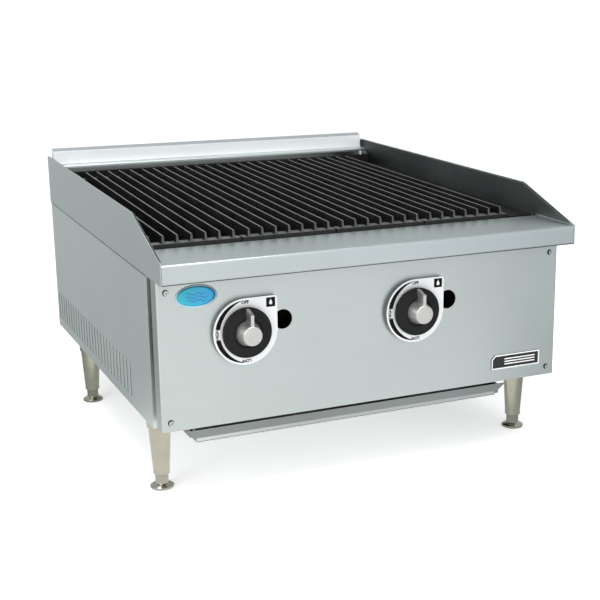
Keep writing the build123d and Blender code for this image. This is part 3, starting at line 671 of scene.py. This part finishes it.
def wave_line(name, height, half_length):
    """Wavy stripe with thin tips, at a height on the sticker."""
    lower, upper = [], []
    for step in range(WAVE_STEPS + 1):
        share = step / WAVE_STEPS * 2 - 1
        half = WAVE_HALF * (1 - share**4) + WAVE_TIP_HALF
        y = height + WAVE_SWING * math.sin(share * math.pi * 2)
        lower.append((share * half_length, y - half))
        upper.append((share * half_length, y + half))
    band(name, lower, upper, sticker_place(WAVE_LIFT), WAVE_THICKNESS, film_dark)


film_rim = printed_film("film_rim", "#b5dcf2", "#e2f2fb", *STICKER_ENDS)
film_blue = printed_film("film_blue", "#2cb6c4", "#2a9fd8", *STICKER_ENDS)
film_dark = printed_film("film_dark", "#2c86c4", "#2478b8", *STICKER_ENDS)
oval("sticker_rim", STICKER_HALF_WIDTH, STICKER_HALF_HEIGHT, RIM_LIFT, RIM_CROWN, film_rim)
oval(
    "sticker_face",
    STICKER_HALF_WIDTH - RIM_WIDTH,
    STICKER_HALF_HEIGHT - RIM_HEIGHT,
    FACE_LIFT,
    FACE_CROWN,
    film_blue,
)
for wave, (wave_height, wave_reach) in enumerate(WAVES):
    wave_line(f"sticker_wave_{wave + 1}", wave_height, wave_reach)

# ------------------------------------------------------------------ painted shadow strips under the guards
SHADOW_STRIP_HEIGHT, SHADOW_STRIP_REACH, SHADOW_STRIP_INSET = 2.6 * MM, 1.1 * MM, 2 * MM
SHADOW_STRIP_TOE = (SHADOW_STRIP_REACH * 0.6, -SHADOW_STRIP_HEIGHT * 0.7)
SHADOW_STRIP_STEPS = 24


def lower_edge(name):
    """Front and rear ends of a guard's sloping lower edge, as (y, z)."""
    corners = [vertex.co for vertex in nodes[name].data.vertices]
    low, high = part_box(name)
    first = min(c.z for c in corners if c.y < low.y + MM)
    last = min(c.z for c in corners if c.y > high.y - MM)
    return (low.y, first), (high.y, last)


def guard_shadow_strip(hand, sign):
    """Dark strip under a guard's lower edge, on the side panel's outer face, that stands in for
    its shadow; sign is its side in X.
    """
    (y0, z0), (y1, z1) = lower_edge(f"{hand}_guard")
    low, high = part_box(f"{hand}_side_panel")
    skin = high.x if sign > 0 else low.x
    slope = (z1 - z0) / (y1 - y0)
    outline = ((0, 0), (0, -SHADOW_STRIP_HEIGHT), SHADOW_STRIP_TOE, (SHADOW_STRIP_REACH, 0))
    length = high.y - low.y - 2 * SHADOW_STRIP_INSET
    sections = []
    for step in range(SHADOW_STRIP_STEPS + 1):
        y = low.y + SHADOW_STRIP_INSET + length * step / SHADOW_STRIP_STEPS
        z = z0 + slope * (y - y0)
        sections.append([(skin + sign * x, y, z + dz) for x, dz in outline])
    loft(f"guard_shadow_strip_{hand}", sections, Matrix(), shadow_strip_grey)


guard_shadow_strip("left", -1)
guard_shadow_strip("right", 1)

# ------------------------------------------------------------------ thread on the gas inlet
THREAD_R, THREAD_RISE, THREAD_ROOT = 12.95 * MM, 0.55 * MM, 0.1 * MM
THREAD_PITCH, THREAD_TURNS, THREAD_STEPS = 1.81 * MM, 9, 48
THREAD_START, THREAD_HALF = 2 * MM, THREAD_PITCH * 0.42


def inlet_thread(name):
    """Helical ridge round the gas inlet's tail, which fades in and out over a turn."""
    low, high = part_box("gas_manifold")
    pipe_r = (high.z - low.z) / 2
    inlet = Vector((high.x - pipe_r, high.y, (low.z + high.z) / 2))
    total = THREAD_TURNS * THREAD_STEPS
    root = THREAD_R - THREAD_ROOT
    sections = []
    for step in range(total + 1):
        x, z = polar(1, 360 * step / THREAD_STEPS)
        fade = min(1, step / THREAD_STEPS, (total - step) / THREAD_STEPS)
        y = inlet.y - THREAD_START - THREAD_PITCH * step / THREAD_STEPS
        crest = THREAD_R + THREAD_RISE * fade
        section = []
        for radius, shift in ((root, -THREAD_HALF), (crest, 0), (root, THREAD_HALF)):
            section.append((inlet.x + radius * x, y + shift, inlet.z + radius * z))
        sections.append(section)
    loft(name, sections, Matrix(), thread_metal)


inlet_thread("inlet_thread")

# ------------------------------------------------------------------ studio
FLOOR_HALF = 14.0
WHITE = (1, 1, 1, 1)
FLOOR_PALE = (0.86, 0.86, 0.86, 1)
FLOOR_GLOW, FLOOR_REFLECTED = 0.48, 0.80
CEILING_GREY = (0.62, 0.64, 0.65, 1)
CEILING_START, CEILING_FULL = 0.55, 0.9
BRIGHT_SIDE = (-0.5, -0.866, 0)
# from the rear right (0) round to the bright side at the front left (1)
STUDIO_STOPS = [
    (0.0, (0.66, 0.68, 0.69, 1)),
    (0.13, (0.62, 0.64, 0.65, 1)),
    (0.2, (0.55, 0.57, 0.58, 1)),
    (0.5, (0.46, 0.48, 0.49, 1)),
    (0.67, (0.58, 0.61, 0.62, 1)),
    (0.745, (0.98, 1.0, 1.01, 1)),
    (0.87, (1.06, 1.07, 1.08, 1)),
    (1.0, (1.12, 1.12, 1.12, 1)),
]
LIGHT_AIM = Vector((0, 0, 0.25))


def studio_tone(tree, direction):
    """Brightness of the studio towards a level direction: bright in front on the left."""
    flat = add(tree, "VectorMath", {0: direction, 1: (1, 1, 0)}, operation="MULTIPLY")
    unit = add(tree, "VectorMath", {0: flat.outputs["Vector"]}, operation="NORMALIZE")
    towards = add(
        tree,
        "VectorMath",
        {0: unit.outputs["Vector"], 1: BRIGHT_SIDE},
        operation="DOT_PRODUCT",
    )
    level = span(tree, towards.outputs["Value"], 0, 1, -1, 1)
    return ramp(tree, level, STUDIO_STOPS)


def make_world():
    """Pale studio all round; seen directly it is plain white."""
    world = bpy.data.worlds.new("studio")
    bpy.context.scene.world = world
    world.use_nodes = True
    tree = world.node_tree
    tree.nodes.clear()
    direction = add(tree, "TexCoord").outputs["Generated"]
    around = studio_tone(tree, direction)
    above = span(tree, coordinate(tree, direction, "Z"), 0, 1, CEILING_START, CEILING_FULL)
    lit = blend_colour(tree, "MIX", above, around, CEILING_GREY)
    graded = add(tree, "Background", {"Color": lit, "Strength": 1.0})
    plain = add(tree, "Background", {"Color": WHITE, "Strength": 1.0})
    seen = add(tree, "LightPath").outputs["Is Camera Ray"]
    mixed = add(tree, "MixShader", {0: seen, 1: graded.outputs[0], 2: plain.outputs[0]})
    output = add(tree, "OutputWorld")
    tree.links.new(mixed.outputs[0], output.inputs["Surface"])


def make_floor():
    """Plain pale floor; in reflections it has the studio's tone, so steel keeps its depth."""
    shape = bmesh.new()
    bmesh.ops.create_grid(shape, x_segments=8, y_segments=8, size=FLOOR_HALF)
    mesh = bpy.data.meshes.new("floor")
    shape.to_mesh(mesh)
    shape.free()
    floor = bpy.data.objects.new("floor", mesh)
    bpy.context.scene.collection.objects.link(floor)
    material = bpy.data.materials.new("floor_white")
    material.use_nodes = True
    tree = material.node_tree
    tree.nodes.clear()
    place = add(tree, "NewGeometry").outputs["Position"]
    matt = add(tree, "BsdfDiffuse", {"Color": FLOOR_PALE})
    glow = add(tree, "Emission", {"Color": WHITE, "Strength": FLOOR_GLOW})
    lifted = add(tree, "AddShader", {0: matt.outputs[0], 1: glow.outputs[0]})
    reflected = studio_tone(tree, place)
    toned = add(tree, "Emission", {"Color": reflected, "Strength": FLOOR_REFLECTED})
    glossy = add(tree, "LightPath").outputs["Is Glossy Ray"]
    mixed = add(tree, "MixShader", {0: glossy, 1: lifted.outputs[0], 2: toned.outputs[0]})
    output = add(tree, "OutputMaterial")
    tree.links.new(mixed.outputs[0], output.inputs["Surface"])
    mesh.materials.append(material)


def softbox(name, place, size, power):
    """Rectangular area light aimed at the grill."""
    light = bpy.data.lights.new(name, "AREA")
    light.shape = "RECTANGLE"
    light.size, light.size_y = size
    light.energy = power
    lamp = bpy.data.objects.new(name, light)
    bpy.context.scene.collection.objects.link(lamp)
    lamp.location = place
    aim = LIGHT_AIM - Vector(place)
    lamp.rotation_mode = "QUATERNION"
    lamp.rotation_quaternion = aim.to_track_quat("-Z", "Y")


make_world()
make_floor()
softbox("softbox_top", place=(-0.4, -0.7, 2.4), size=(2.2, 1.4), power=32)
softbox("softbox_left", place=(-2.4, -1.6, 1.5), size=(1.2, 1.2), power=14)

# ------------------------------------------------------------------ camera
# solved from the corners of the body, so the render has the photo's view; angles in degrees
CAMERA_PLACE = (-0.66818, -1.65106, 0.60388)
CAMERA_YAW, CAMERA_PITCH, CAMERA_ROLL = 22.96, 13.38, -0.94
SENSOR_WIDTH, FOCAL_LENGTH = 36, 67.1
camera_data = bpy.data.cameras.new("camera")
camera_data.sensor_width = SENSOR_WIDTH
camera_data.lens = FOCAL_LENGTH
camera = bpy.data.objects.new("camera", camera_data)
bpy.context.scene.collection.objects.link(camera)
camera.matrix_world = (
    Matrix.Translation(CAMERA_PLACE)
    @ Matrix.Rotation(math.radians(-CAMERA_YAW), 4, "Z")
    @ Matrix.Rotation(math.radians(90 - CAMERA_PITCH), 4, "X")
    @ Matrix.Rotation(math.radians(CAMERA_ROLL), 4, "Z")
)
bpy.context.scene.camera = camera
bpy.context.scene.view_settings.view_transform = "Standard"
